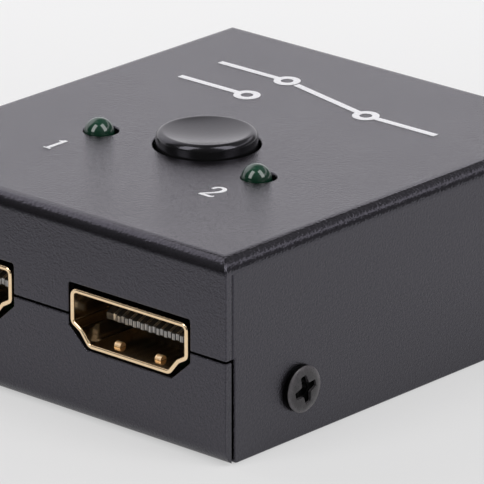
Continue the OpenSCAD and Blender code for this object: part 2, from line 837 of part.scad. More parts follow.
module return_spring() {
    points = [for (i = [0 : spring_rings], k = [0 : spring_sides - 1]) spring_point(i, k)];
    skin = [for (i = [0 : spring_rings - 1], k = [0 : spring_sides - 1]) each spring_faces(i, k)];
    first = [for (k = [1 : spring_sides - 2]) spring_cap(0, k, false)];
    last = [for (k = [1 : spring_sides - 2]) spring_cap(spring_rings, k, true)];
    color([0.75, 0.75, 0.78]) translate([0, button_y, 0]) polyhedron(points, concat(skin, first, last));
}

// Bent wire in the plane x = 0: pivot stub below, upright, follower stub above
module latch_pin() {
    stub = -slider_d / 2 + track_depth - track_floor_gap - latch_y - latch_bend_r;
    color([0.7, 0.7, 0.72]) translate([0, button_y + latch_y, latch_pivot_z]) {
        translate([0, 0, latch_bend_r]) cylinder(h = latch_len - 2 * latch_bend_r, d = latch_wire_d);
        for (up = [0, 1]) translate([0, 0, up * latch_len]) mirror([0, 0, up]) {
            translate([0, latch_bend_r, latch_bend_r]) rotate([0, 90, 180]) rotate_extrude(angle = 90) {
                translate([latch_bend_r, 0]) circle(d = latch_wire_d);
            }
            translate([0, latch_bend_r, 0]) rotate([-90, 0, 0]) cylinder(h = stub, d = latch_wire_d);
        }
    }
}

// Leaf that keeps the latch pin in its track, with a rib through the housing's window
module latch_leaf() {
    face_y = -switch_w / 2;
    leaf_rib_y = latch_y - latch_wire_d / 2 - wipe_gap;
    leaf_w = window_w + 2 * leaf_margin;
    color([0.78, 0.78, 0.8]) translate([0, button_y, base_top]) {
        translate([-leaf_w / 2, face_y - leaf_t, 0]) cube([leaf_w, leaf_t, leaf_h]);
        translate([-window_w / 2 + pin_fit, face_y - leaf_t, leaf_h / 2 - leaf_t]) {
            cube([window_w - 2 * pin_fit, leaf_rib_y - face_y + leaf_t, 2 * leaf_t]);
        }
    }
}

module switch_housing() {
    housing_h = switch_top - base_top;
    color([0.1, 0.22, 0.5]) translate([0, button_y, base_top]) difference() {
        translate([-switch_w / 2, -switch_w / 2, 0]) cube([switch_w, switch_w, housing_h]);
        translate([-cavity_w / 2, -cavity_w / 2, -over]) {
            cube([cavity_w, cavity_w, housing_h - switch_roof + over]);
        }
        translate([0, 0, housing_h - switch_roof - over]) linear_extrude(switch_roof + 2 * over) {
            square(stem_w + 2 * stem_fit, center = true);
        }
        translate([-window_w / 2, -switch_w / 2 - over, leaf_margin]) {
            cube([window_w, switch_wall + 2 * over, window_h]);
        }
    }
}

module switch_base() {
    stub_end = -slider_d / 2 + track_depth;
    color([0.25, 0.2, 0.15]) translate([0, button_y, 0]) {
        difference() {
            translate([-switch_w / 2, -switch_w / 2, board_top]) cube([switch_w, switch_w, base_t]);
            translate([-latch_slot_w / 2, -switch_w / 2 - over, board_top - over]) {
                cube([latch_slot_w, switch_w / 2 + latch_y + latch_bend_r + over, base_t + 2 * over]);
            }
            translate([0, latch_y, latch_pivot_z]) rotate([-90, 0, 0]) {
                cylinder(h = stub_end - latch_y, r = latch_wire_d / 2 + latch_pivot_fit);
            }
            translate([0, -button_y, 0]) terminal_places() {
                translate([terminal_t / 2, 0, board_top + base_t / 2]) {
                    cube([terminal_t + pin_fit, terminal_w + pin_fit, base_t + 2 * over], center = true);
                }
            }
        }
        translate([0, 0, base_top]) cylinder(h = spring_post_h, d = spring_post_d);
    }
}

// Places of the six terminals, with the terminal's inner face at x = 0 and +x outward
module terminal_places() {
    for (s = [-1, 1], i = [-1, 0, 1]) translate([0, button_y + i * terminal_pitch, 0]) {
        rotate([0, 0, s < 0 ? 180 : 0]) translate([terminal_x, 0, 0]) children();
    }
}

module switch_terminals() {
    foot = board_bottom - terminal_out;
    color([0.8, 0.8, 0.78]) terminal_places() {
        translate([0, -terminal_w / 2, foot]) cube([terminal_t, terminal_w, terminal_top - foot]);
    }
}

// Places of the lamps' holes, of the lamps and of the two leads of each
module at_led_hole(s) {
    translate([s * (side_x - led_inset), led_y, 0]) children();
}
module at_led(s) {
    at_led_hole(s) translate([-led_off, -led_off_front, 0]) children();
}
module lead_places() {
    for (s = [-1, 1]) translate([s * lead_spacing / 2, 0, 0]) children();
}

module led_lens() {
    color([0.1, 0.35, 0.12]) {
        translate([0, 0, led_base]) cylinder(h = led_flange_h, d = led_flange_d);
        translate([0, 0, led_base]) cylinder(h = led_len - led_d / 2, d = led_d);
        translate([0, 0, led_top - led_d / 2]) sphere(d = led_d);
    }
}

module led_leads() {
    foot = board_bottom - lead_out;
    color([0.8, 0.8, 0.78]) lead_places() {
        translate([-lead_w / 2, -lead_w / 2, foot]) cube([lead_w, lead_w, led_base - foot]);
    }
}

module signal_chip() {
    color([0.07, 0.07, 0.07]) translate([0, chip_y, board_top]) difference() {
        translate([-chip_size[0] / 2, -chip_size[1] / 2, 0]) cube(chip_size);
        translate([chip_mark_inset - chip_size[0] / 2, chip_mark_inset - chip_size[1] / 2,
                   chip_size[2] - chip_mark_depth]) {
            cylinder(h = over, d = chip_mark_d);
        }
    }
}

module capacitors() {
    row_y = chip_size[1] / 2 + capacitor_size[1] / 2 + capacitor_gap;
    color([0.7, 0.58, 0.42]) translate([0, chip_y, board_top]) for (t = [-1, 1], i = [-2 : 2]) {
        translate([i * capacitor_pitch - capacitor_size[0] / 2, t * row_y - capacitor_size[1] / 2, 0]) {
            cube(capacitor_size);
        }
    }
}

module resistors() {
    color([0.1, 0.1, 0.1]) for (s = [-1, 1]) at_led(s) {
        translate([-resistor_size[0] / 2, led_flange_d / 2 + resistor_gap, board_top]) cube(resistor_size);
    }
}

module socket_shell_1() { at_socket(-1) socket_shell(); }
module socket_shell_2() { at_socket(1) socket_shell(); }
module socket_shell_common() { at_socket(0) socket_shell(); }
module socket_insulator_1() { at_socket(-1) socket_insulator(); }
module socket_insulator_2() { at_socket(1) socket_insulator(); }
module socket_insulator_common() { at_socket(0) socket_insulator(); }
module socket_contacts_1() { at_socket(-1) socket_contacts(); }
module socket_contacts_2() { at_socket(1) socket_contacts(); }
module socket_contacts_common() { at_socket(0) socket_contacts(); }
module led_lens_1() { at_led(-1) led_lens(); }
module led_lens_2() { at_led(1) led_lens(); }
module led_leads_1() { at_led(-1) led_leads(); }
module led_leads_2() { at_led(1) led_leads(); }

top_cover();
bottom_tray();
cover_screws();
board_standoffs();
board_screws();
circuit_board();
socket_shell_1();
socket_shell_2();
socket_shell_common();
socket_insulator_1();
socket_insulator_2();
socket_insulator_common();
socket_contacts_1();
socket_contacts_2();
socket_contacts_common();
button_cap();
switch_plunger();
contact_clips();
return_spring();
latch_pin();
latch_leaf();
switch_housing();
switch_base();
switch_terminals();
led_lens_1();
led_lens_2();
led_leads_1();
led_leads_2();
signal_chip();
capacitors();
resistors();
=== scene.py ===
"""Looks of the two-way video switch box: materials, small pieces, light and camera."""
import json
import math

import bmesh
import bpy
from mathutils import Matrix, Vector, noise


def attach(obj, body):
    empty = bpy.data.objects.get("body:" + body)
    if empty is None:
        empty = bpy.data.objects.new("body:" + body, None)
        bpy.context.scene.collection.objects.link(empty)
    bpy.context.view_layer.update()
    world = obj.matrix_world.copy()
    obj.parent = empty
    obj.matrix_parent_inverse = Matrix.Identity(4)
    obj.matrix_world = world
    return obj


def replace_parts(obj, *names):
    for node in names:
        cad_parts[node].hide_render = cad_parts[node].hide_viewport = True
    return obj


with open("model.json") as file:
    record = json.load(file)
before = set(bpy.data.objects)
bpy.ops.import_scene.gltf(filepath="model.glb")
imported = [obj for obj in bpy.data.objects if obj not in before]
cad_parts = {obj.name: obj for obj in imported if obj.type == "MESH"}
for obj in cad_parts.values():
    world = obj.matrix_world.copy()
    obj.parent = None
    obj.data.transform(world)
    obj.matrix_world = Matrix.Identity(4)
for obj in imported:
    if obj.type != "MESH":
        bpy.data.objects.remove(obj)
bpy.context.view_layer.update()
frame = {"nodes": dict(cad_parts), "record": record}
nodes = frame["nodes"]

MM = 0.001
X, Y, Z = 0, 1, 2
UP, DOWN = (0.0, 0.0, 1.0), (0.0, 0.0, -1.0)

# Places on the solids, in mm from the middle of the underside
TOP_Z = 20.3                                # flat top of the case
LAMP_TOP = 21.6
BUTTON_Y = -3.2
SOCKET_X = (0.0, -11.0, 11.7)               # middles of the rear socket and the two front ones
MOUTH_Y = 26.5                              # the shells' edges are rounded beyond this
RIB_Y, RIB_HALF, RIB_END = 25.4, 0.42, 3.1  # spring ribs on the shells' lower walls
RIB_Z = (7.87, 8.35)
SCREW_X = (24.5, 24.75)                     # end of a cover screw's side, and middle of its face
WALL_END = 25.8                             # ends of the cover's side walls
WALL_R, WALL_R_KEPT = 1.0, 0.4              # radius of their lower corners, and share that stays
TRAY_EDGE_Z = 1.7                           # the tray's edges are rounded above this

# Paint of the case: each mask is none at the first place and whole at the second, in mm
CORNER_X, CORNER_Y, CORNER_Z = (23.8, 23.95), (26.0, 26.2), (10.3, 10.5)
FOLD_X, FOLD_Y, FOLD_Z = (22.5, 23.0), (25.5, 26.0), (18.8, 19.2)
CORNER_LIGHTER = 0.5                            # how much lighter the paint is made at the upright corners
FOLD_LOSS = 0.85                            # share of its fine grain that the paint loses on a fold
END_LUMPS = 0.6                             # lumps on the front and rear folds, against the sides'
COAT_TINT = (1.0, 0.96, 1.08)

CONTACT_SPLIT = 0.25                        # mm between the dark lines along the contacts
SCREW_FACE_TINT = (1.04, 0.97, 1.03)              # tint of the screws' face and of the painted highlight at its rim
INK_TINT = (1.0, 1.0, 1.02)

SHARP_ANGLE, FLAT_ANGLE = 35.0, 1.0         # degrees: edges to round, and faces to take as one
WELD_M = 1e-6


# Calls that add nodes to any tree
def put(tree, socket, value):
    """Sets a socket to a number or vector, or links an output to it."""
    if isinstance(value, (int, float, tuple)):
        socket.default_value = value
    else:
        tree.links.new(value, socket)


def math_node(tree, kind, *values):
    """Joins numbers and outputs, one after the other, by one kind of Math node."""
    total = values[0]
    for value in values[1:] or (0.0,):
        node = tree.nodes.new("ShaderNodeMath")
        node.operation = kind
        put(tree, node.inputs[0], total)
        put(tree, node.inputs[1], value)
        total = node.outputs[0]
    return total


def vector_node(tree, kind, a, b):
    """Vector Math node; its second value is a number where it scales."""
    node = tree.nodes.new("ShaderNodeVectorMath")
    node.operation = kind
    put(tree, node.inputs[0], a)
    put(tree, node.inputs["Scale" if kind == "SCALE" else 1], b)
    return node.outputs["Value" if kind == "DOT_PRODUCT" else "Vector"]


def range_node(tree, value, start, end, low=0.0, high=1.0, ease="LINEAR"):
    """Goes from low to high as the value goes from start to end."""
    node = tree.nodes.new("ShaderNodeMapRange")
    node.interpolation_type = ease
    limits = {"From Min": start, "From Max": end, "To Min": low, "To Max": high}
    for name, limit in limits.items():
        node.inputs[name].default_value = limit
    tree.links.new(value, node.inputs["Value"])
    return node.outputs["Result"]


class Shader:
    """A material with one Principled shader, and short calls for the nodes that feed it."""

    def __init__(self, name):
        self.mat = bpy.data.materials.new(name)
        self.mat.use_nodes = True
        self.tree = self.mat.node_tree
        self.tree.nodes.clear()
        self.out = self.add("ShaderNodeOutputMaterial")
        self.bsdf = self.add("ShaderNodeBsdfPrincipled")
        self.link(self.bsdf.outputs[0], self.out.inputs["Surface"])
        self.coords = self.add("ShaderNodeTexCoord").outputs["Object"]

    def add(self, kind):
        return self.tree.nodes.new(kind)

    def link(self, a, b):
        self.tree.links.new(a, b)

    def set(self, **values):
        for key, value in values.items():
            self.bsdf.inputs[key.replace("_", " ")].default_value = value

    def feed(self, socket, source):
        self.link(source, self.bsdf.inputs[socket])

    def math(self, kind, *values):
        return math_node(self.tree, kind, *values)

    def axis(self, index):
        """Place along an axis, in metres."""
        node = self.add("ShaderNodeSeparateXYZ")
        self.link(self.coords, node.inputs[0])
        return node.outputs[index]

    def off(self, index, middle_mm=0.0):
        """Distance along an axis from a middle, in metres."""
        return self.math("ABSOLUTE", self.math("SUBTRACT", self.axis(index), middle_mm * MM))

    def span(self, source, low, high, start=0.3, end=0.7):
        """Goes from low to high; a noise lies mostly between the usual start and end."""
        return range_node(self.tree, source, start, end, low, high)

    def rise(self, source, places_mm, high=1.0):
        """Goes from none to high between two places."""
        start, end = places_mm
        return range_node(self.tree, source, start * MM, end * MM, 0.0, high)

    def stretch(self, scale):
        node = self.add("ShaderNodeMapping")
        node.inputs["Scale"].default_value = scale
        self.link(self.coords, node.inputs["Vector"])
        return node.outputs["Vector"]

    def noise(self, size_mm, detail=2.0, rough=0.5, vector=None):
        node = self.add("ShaderNodeTexNoise")
        node.inputs["Scale"].default_value = 1.0 / (size_mm * MM)
        node.inputs["Detail"].default_value = detail
        node.inputs["Roughness"].default_value = rough
        self.link(vector or self.coords, node.inputs["Vector"])
        return node.outputs["Fac"]

    def ramp(self, source, stops):
        node = self.add("ShaderNodeValToRGB")
        band = node.color_ramp.elements
        while len(band) < len(stops):
            band.new(0.5)
        for element, (place, colour) in zip(band, stops):
            element.position = place
            element.color = (*colour, 1.0)
        self.link(source, node.inputs["Fac"])
        return node.outputs["Color"]

    def bump(self, height, depth_mm, strength=1.0, under=None):
        node = self.add("ShaderNodeBump")
        node.inputs["Distance"].default_value = depth_mm * MM
        put(self.tree, node.inputs["Strength"], strength)
        self.link(height, node.inputs["Height"])
        if under:
            self.link(under, node.inputs["Normal"])
        return node.outputs["Normal"]


def grey(v, tint=(1.0, 1.0, 1.0)):
    return tuple(v * t for t in tint)


# Materials
def powder_coat():
    """Fine black paint, lighter at the upright corners above the split line, and run into lumps on
    the folds.
    """
    s = Shader("powder_coat")
    grain = s.noise(0.16, rough=0.6)
    # Paint made lighter at the upright corners, above the split line
    corner = s.math("MULTIPLY", s.rise(s.off(X), CORNER_X), s.rise(s.off(Y), CORNER_Y))
    corner_lighter = s.math("MULTIPLY", corner, s.rise(s.axis(Z), CORNER_Z, CORNER_LIGHTER))
    shade = s.math("ADD", s.math("MULTIPLY", grain, 0.5), corner_lighter)
    dark, usual, light = (grey(v, COAT_TINT) for v in (0.003, 0.008, 0.02))
    s.feed("Base Color", s.ramp(shade, [(0.15, dark), (0.35, usual), (0.65, usual), (0.85, light)]))
    s.feed("Roughness", s.span(s.noise(9.0), 0.16, 0.2))
    s.feed("Specular IOR Level", s.span(s.noise(0.2, rough=0.6), 0.4, 0.6))
    side, end = s.rise(s.off(X), FOLD_X), s.rise(s.off(Y), FOLD_Y)
    fold = s.math("MULTIPLY", s.math("MAXIMUM", side, end), s.rise(s.axis(Z), FOLD_Z))
    fine = s.math("SUBTRACT", 1.0, s.math("MULTIPLY", fold, FOLD_LOSS))
    share = s.math("ADD", s.math("MULTIPLY", side, 1.0 - END_LUMPS), END_LUMPS)
    lumpy = s.math("MULTIPLY", fold, share)
    peel, lumps = s.noise(0.28, detail=1.0), s.noise(0.25, detail=0.0)
    surface = s.bump(grain, depth_mm=0.042, strength=fine)
    surface = s.bump(peel, depth_mm=0.022, strength=fine, under=surface)
    s.feed("Normal", s.bump(lumps, depth_mm=0.026, strength=lumpy, under=surface))
    s.set(IOR=1.7, Specular_Tint=(0.87, 0.84, 1.0, 1.0))
    return s.mat


def black_oxide():
    """Cover screws: black in the recess and round the side as painted shade, and a painted
    highlight as a lighter ring at the rim of the domed face.
    """
    s = Shader("black_oxide")
    grain = s.noise(0.12)
    # Painted shade, black, in the recess and round the side; painted highlight, a lighter ring, at
    # the rim of the face
    painted_shade_and_rim_highlight = s.ramp(s.rise(s.off(X), SCREW_X),
                  [(0.0, grey(0.0)), (0.2, grey(1.0)), (0.5, grey(1.0)), (1.0, grey(0.45))])
    patchy_painted_light = s.math("MULTIPLY", painted_shade_and_rim_highlight, s.span(s.noise(0.5, detail=3.0), 0.6, 1.0))
    s.feed("Base Color", s.ramp(patchy_painted_light, [(0.0, grey(0.003)), (0.4, grey(0.036, SCREW_FACE_TINT)),
                                         (1.0, grey(0.106, SCREW_FACE_TINT))]))
    s.feed("Roughness", s.span(grain, 0.26, 0.38))
    # Reflection turned down in the recess and round the side: painted shade
    s.feed("Specular IOR Level", s.span(painted_shade_and_rim_highlight, 0.02, 0.5, 0.0, 0.4))
    s.feed("Normal", s.bump(grain, depth_mm=0.008))
    s.set(Metallic=0.2)
    return s.mat


def gold_plate():
    """Socket shells, bright, and duller where the spring ribs rub on a plug."""
    s = Shader("gold_plate")
    drawn = s.noise(0.5, 3.0, 0.6, s.stretch((1.0, 0.15, 1.0)))
    s.feed("Base Color", s.ramp(drawn, [(0.3, (0.95, 0.7, 0.43)), (0.7, (0.98, 0.77, 0.5))]))
    along = s.math("ABSOLUTE", s.math("SUBTRACT", s.off(Y), RIB_Y * MM))
    across = s.math("MINIMUM", *(s.off(X, middle) for middle in SOCKET_X))
    ribs = s.math("MULTIPLY", s.math("LESS_THAN", along, RIB_HALF * MM),
                  s.math("LESS_THAN", across, RIB_END * MM),
                  s.math("GREATER_THAN", s.axis(Z), RIB_Z[0] * MM),
                  s.math("LESS_THAN", s.axis(Z), RIB_Z[1] * MM))
    s.feed("Roughness", s.math("MAXIMUM", s.span(s.noise(0.35), 0.13, 0.19),
                               s.math("MULTIPLY", ribs, 0.5)))
    s.feed("Normal", s.bump(drawn, depth_mm=0.0006))
    s.set(Metallic=1.0)
    return s.mat


def metal(name, low, high, rough, stretch=(1.0, 1.0, 0.2), split_mm=None):
    """Drawn or turned metal with streaks, and with dark lines along it where a spacing is given."""
    s = Shader(name)
    streaks = s.noise(0.3, 3.0, 0.6, s.stretch(stretch))
    if split_mm:
        split = s.math("PINGPONG", s.math("DIVIDE", s.axis(X), split_mm * MM), 0.5)
        shade = s.math("MULTIPLY", s.span(streaks, 0.8, 1.0), s.span(split, 0.0, 1.0, 0.05, 0.3))
        s.feed("Base Color", s.ramp(shade, [(0.0, low), (1.0, high)]))
    else:
        s.feed("Base Color", s.ramp(streaks, [(0.3, low), (0.7, high)]))
    s.feed("Roughness", s.span(s.noise(0.42), rough - 0.05, rough + 0.05))
    s.feed("Normal", s.bump(streaks, depth_mm=0.003))
    s.set(Metallic=1.0)
    return s.mat


def plastic(name, low, high, rough, size_mm=0.25, depth_mm=0.006, spread=0.05, **values):
    """Moulded plastic with a fine grain, and slow drifts of colour."""
    s = Shader(name)
    grain = s.noise(size_mm)
    s.feed("Base Color", s.ramp(s.noise(size_mm * 6, detail=3.0), [(0.3, low), (0.7, high)]))
    s.feed("Roughness", s.span(grain, rough - spread, rough + spread))
    s.feed("Normal", s.bump(grain, depth_mm))
    s.set(**values)
    return s.mat


def lamp_green():
    """Dark green clear lens, lighter towards its top as painted sheen and darker at its foot as
    painted shade.
    """
    s = Shader("lamp_green")
    # Colour lighter towards the lens top: painted sheen; darker at its foot: painted shade
    height = s.rise(s.axis(Z), (TOP_Z, LAMP_TOP))
    cloud = s.noise(0.8)
    body = s.math("ADD", s.math("MULTIPLY", height, 0.7), s.math("MULTIPLY", cloud, 0.3))
    s.feed("Base Color", s.ramp(body, [(0.15, (0.004, 0.026, 0.013)),
                                       (0.8, (0.007, 0.046, 0.025))]))
    s.feed("Roughness", s.span(s.noise(0.3), 0.06, 0.1))
    s.feed("Normal", s.bump(s.noise(0.5, detail=1.0), depth_mm=0.0015))
    s.set(IOR=1.65)
    return s.mat


def circuit_board():
    """Green solder mask over tracks on the board's faces, with its edges painted near black as
    painted shade.
    """
    s = Shader("circuit_board")
    wander = s.noise(2.2, 1.0, 0.4, s.stretch((1.0, 0.5, 1.0)))
    tracks = s.math("PINGPONG", s.math("MULTIPLY", wander, 9.0), 0.5)
    facing = s.add("ShaderNodeSeparateXYZ")
    s.link(s.add("ShaderNodeTexCoord").outputs["Normal"], facing.inputs[0])
    # Faces that do not look up or down, the board's edges, are painted near black: painted shade
    mask = s.math("MULTIPLY", s.math("ABSOLUTE", facing.outputs[Z]), s.math("ADD", tracks, 0.3))
    s.feed("Base Color", s.ramp(mask, [(0.1, (0.012, 0.012, 0.008)), (0.3, (0.012, 0.12, 0.05)),
                                       (0.5, (0.012, 0.12, 0.05)), (0.6, (0.03, 0.2, 0.09))]))
    s.feed("Roughness", s.span(s.noise(0.4), 0.3, 0.42))
    s.feed("Normal", s.bump(tracks, depth_mm=0.01, strength=0.5))
    return s.mat


def white_ink():
    """Printed ink with fine specks."""
    s = Shader("white_ink")
    speck = s.noise(0.12, 3.0, 0.6)
    s.feed("Base Color", s.ramp(speck, [(0.28, grey(0.6)), (0.5, grey(0.82, INK_TINT))]))
    s.feed("Roughness", s.span(speck, 0.45, 0.6))
    s.feed("Normal", s.bump(s.noise(0.26, 3.0, 0.62), depth_mm=0.01))
    return s.mat


LOOKS = {
    "case_paint": powder_coat(),
    "screw_black": black_oxide(),
    "screw_steel": metal("zinc_plate", (0.5, 0.5, 0.52), (0.68, 0.68, 0.7), 0.3),
    "standoff_brass": metal("turned_brass", (0.6, 0.45, 0.2), (0.78, 0.6, 0.3), 0.3,
                            stretch=(0.2, 0.2, 1.0)),
    "board_green": circuit_board(),
    "button_black": plastic("button_black", grey(0.005), grey(0.008), 0.165, size_mm=0.3,
                            depth_mm=0.003, spread=0.025, IOR=1.52,
                            Specular_Tint=(0.9, 0.88, 1.0, 1.0)),
    "plunger_white": plastic("plunger_white", grey(0.7), grey(0.78, (1.0, 1.0, 0.97)), 0.45),
    "contact_metal": metal("tinned_contact", (0.6, 0.6, 0.58), (0.76, 0.75, 0.72), 0.26),
    "spring_steel": metal("spring_steel", (0.48, 0.48, 0.5), (0.62, 0.62, 0.64), 0.25),
    "switch_blue": plastic("switch_blue", (0.03, 0.1, 0.32), (0.05, 0.14, 0.4), 0.45),
    "switch_brown": plastic("switch_brown", (0.08, 0.05, 0.03), (0.11, 0.07, 0.045), 0.5),
    "chip_black": plastic("chip_black", grey(0.024), grey(0.034), 0.6, size_mm=0.12, depth_mm=0.01),
    "capacitor_tan": plastic("capacitor_tan", (0.42, 0.31, 0.2), (0.55, 0.42, 0.28), 0.5),
    "resistor_black": plastic("resistor_black", grey(0.03), grey(0.045), 0.35),
    "shell_gold": gold_plate(),
    "socket_black": plastic("socket_black", grey(0.01), grey(0.016), 0.45),
    "lamp_green": lamp_green(),
}
# The contacts in the sockets are duller, and each has a dark split along its middle
SOCKET_CONTACT = metal("socket_contact", grey(0.16), (0.52, 0.52, 0.51), 0.4,
                       split_mm=CONTACT_SPLIT)
INK = white_ink()

for part in frame["record"]["subparts"]:
    mesh = nodes[part["node"]].data
    mesh.materials.clear()
    dull = part["node"].startswith("socket_contacts")
    mesh.materials.append(SOCKET_CONTACT if dull else LOOKS[part["material_slot"]])


# Softened edges on the sheet metal, the sockets and the cover screws
class PointNodes:
    """Node group for a modifier: one main node, fed from the points' places."""

    def __init__(self, name, kind):
        self.tree = bpy.data.node_groups.new(name, "GeometryNodeTree")
        for side in ("INPUT", "OUTPUT"):
            self.tree.interface.new_socket("Geometry", in_out=side,
                                           socket_type="NodeSocketGeometry")
        split = self.add("ShaderNodeSeparateXYZ")
        self.link(self.add("GeometryNodeInputPosition").outputs[0], split.inputs[0])
        self.y, self.z = split.outputs[Y], split.outputs[Z]
        self.main = self.add(kind)
        self.link(self.add("NodeGroupInput").outputs[0], self.main.inputs["Geometry"])
        self.link(self.main.outputs["Geometry"], self.add("NodeGroupOutput").inputs[0])

    def add(self, kind):
        return self.tree.nodes.new(kind)

    def link(self, a, b):
        self.tree.links.new(a, b)

    def math(self, kind, *values):
        return math_node(self.tree, kind, *values)


def edges_past(along, limit_mm):
    """Marks for the bevel the sharp edges above a height, or beyond a distance front and back."""
    g = PointNodes("edges_past", "GeometryNodeStoreNamedAttribute")
    g.main.domain, g.main.data_type = "EDGE", "FLOAT"
    g.main.inputs["Name"].default_value = "bevel_weight_edge"
    fold = g.add("GeometryNodeInputMeshEdgeAngle").outputs["Unsigned Angle"]
    sharp = g.math("GREATER_THAN", fold, math.radians(SHARP_ANGLE))
    place = g.z if along == "z" else g.math("ABSOLUTE", g.y)
    past = g.math("GREATER_THAN", place, limit_mm * MM)
    g.link(g.math("MULTIPLY", sharp, past), g.main.inputs["Value"])
    return g.tree


def square_corners():
    """Draws the lower corners of the cover's side walls in to a share of their radius."""
    slack = 0.01 * MM
    g = PointNodes("square_corners", "GeometryNodeSetPosition")
    inner = g.math("SUBTRACT", WALL_END * MM, g.math("ABSOLUTE", g.y))
    near = WALL_R * MM + slack
    pick = g.math("MULTIPLY", g.math("LESS_THAN", inner, near), g.math("LESS_THAN", g.z, near),
                  g.math("GREATER_THAN", inner, -slack))
    g.link(pick, g.main.inputs["Selection"])
    shift = g.add("ShaderNodeCombineXYZ")
    out = g.math("MULTIPLY", g.math("SIGN", g.y), g.math("MULTIPLY", inner, 1.0 - WALL_R_KEPT))
    g.link(out, shift.inputs[Y])
    g.link(g.math("MULTIPLY", g.z, WALL_R_KEPT - 1.0), shift.inputs[Z])
    g.link(shift.outputs[0], g.main.inputs["Offset"])
    return g.tree


def soften(name, width_mm, segments=2, past=None, corners=None):
    """Rounds a node's sharp edges, all of them or only those past a place."""
    obj = nodes[name]
    weld = obj.modifiers.new("weld", "WELD")
    weld.merge_threshold = WELD_M
    flat = obj.modifiers.new("flat", "DECIMATE")
    flat.decimate_type = "DISSOLVE"
    flat.angle_limit = math.radians(FLAT_ANGLE)
    if corners:
        obj.modifiers.new("corners", "NODES").node_group = corners
    if past:
        obj.modifiers.new("pick", "NODES").node_group = edges_past(*past)
    bevel = obj.modifiers.new("edges", "BEVEL")
    bevel.width = width_mm * MM
    bevel.segments = segments
    bevel.limit_method = "WEIGHT" if past else "ANGLE"
    bevel.angle_limit = math.radians(SHARP_ANGLE)
    bevel.use_clamp_overlap = False
    bevel.loop_slide = False
    bevel.harden_normals = True
    normal = obj.modifiers.new("normals", "WEIGHTED_NORMAL")
    normal.keep_sharp = True


soften("top_cover", width_mm=0.15, corners=square_corners())
soften("bottom_tray", width_mm=0.12, past=("z", TRAY_EDGE_Z))
for which in ("1", "2", "common"):
    soften("socket_shell_" + which, width_mm=0.15, segments=3, past=("y", MOUTH_Y))
    soften("socket_insulator_" + which, width_mm=0.05)
soften("cover_screws", width_mm=0.07)


# Pieces made here
def show(name, data):
    obj = bpy.data.objects.new(name, data)
    bpy.context.scene.collection.objects.link(obj)
    return obj


def add_piece(name, bm, material, body, sharp=None):
    """Makes a piece of a closed mesh, smooth up to an angle where one is given."""
    bmesh.ops.recalc_face_normals(bm, faces=bm.faces)
    mesh = bpy.data.meshes.new(name)
    bm.to_mesh(mesh)
    bm.free()
    if sharp is not None:
        mesh.polygons.foreach_set("use_smooth", [True] * len(mesh.polygons))
        mesh.set_sharp_from_angle(angle=math.radians(sharp))
    mesh.materials.append(material)
    obj = show(name, mesh)
    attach(obj, body)
    return obj


def bridge(bm, rows):
    """Joins closed rows of points, one after the other, with quads."""
    count = len(rows[0])
    for a, b in zip(rows, rows[1:]):
        for k in range(count):
            n = (k + 1) % count
            bm.faces.new((a[k], a[n], b[n], b[k]))


# Push button: the same size as the solid, with the fuller rim of the photo
CAP_R, CAP_TOP, CAP_FOOT, CAP_CHAMFER = 5.0, 21.65, 17.2, 0.1
RIM_R, RIM_LAND, DISH = 0.65, 0.05, 0.45
CAVITY_R, HUB_R, STEM_HALF, ROOF_Z = 4.0, 2.72, 1.53, 20.15
CAP_STEPS, DISH_STEPS, RIM_STEPS = 144, 24, 12


def cap_rings():
    """Rings from the dish's middle to the stem's hole, as (reach at an angle, height)."""
    def circle(r):
        return lambda turn: r

    def square(turn):
        return STEM_HALF / max(abs(math.cos(turn)), abs(math.sin(turn)))

    half = CAP_R - RIM_R - RIM_LAND
    ball = (half * half + DISH * DISH) / (2 * DISH)
    rings = []
    for k in range(1, DISH_STEPS + 1):
        r = half * k / DISH_STEPS
        rings.append((circle(r), CAP_TOP - DISH + ball - math.sqrt(ball ** 2 - r ** 2)))
    for k in range(RIM_STEPS + 1):
        turn = math.radians(90 - 90 / RIM_STEPS * k)
        rings.append((circle(CAP_R - RIM_R + RIM_R * math.cos(turn)),
                      CAP_TOP - RIM_R + RIM_R * math.sin(turn)))
    rings += [(circle(CAP_R), CAP_FOOT + CAP_CHAMFER), (circle(CAP_R - CAP_CHAMFER), CAP_FOOT),
              (circle(CAVITY_R), CAP_FOOT), (circle(CAVITY_R), ROOF_Z),
              (circle(HUB_R), ROOF_Z), (circle(HUB_R), CAP_FOOT),
              (square, CAP_FOOT), (square, ROOF_Z)]
    return rings


def push_button():
    bm = bmesh.new()
    turns = [2 * math.pi * k / CAP_STEPS for k in range(CAP_STEPS)]
    rows = []
    for reach, z in cap_rings():
        places = [(reach(t) * math.cos(t), BUTTON_Y + reach(t) * math.sin(t)) for t in turns]
        rows.append([bm.verts.new((x * MM, y * MM, z * MM)) for x, y in places])
    middle = bm.verts.new((0.0, BUTTON_Y * MM, (CAP_TOP - DISH) * MM))
    for k in range(CAP_STEPS):
        bm.faces.new((middle, rows[0][k], rows[0][(k + 1) % CAP_STEPS]))
    bridge(bm, rows)
    bm.faces.new(rows[-1])
    return add_piece("push_button", bm, LOOKS["button_black"], "button",
                     sharp=35.0)


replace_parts(push_button(), "button_cap")

# Paint that bridges the slits between the cover's flanges and its side walls
SLIT_Y, SLIT_HALF, SLIT_FOOT, SLIT_TOP = 26.05, 0.048, 10.42, 18.7
PAINT_BACK, PAINT_FACE, PAINT_SAG = 23.4, 23.93, 0.03
FACE_ROUGH, SAG_ROUGH, ROUGH_PER_MM = 0.05, 0.02, 3.1
SEED_X, SEED_Y = 7.0, 11.0    # these set the four corners apart in the noise
PAINT_STEPS = 56


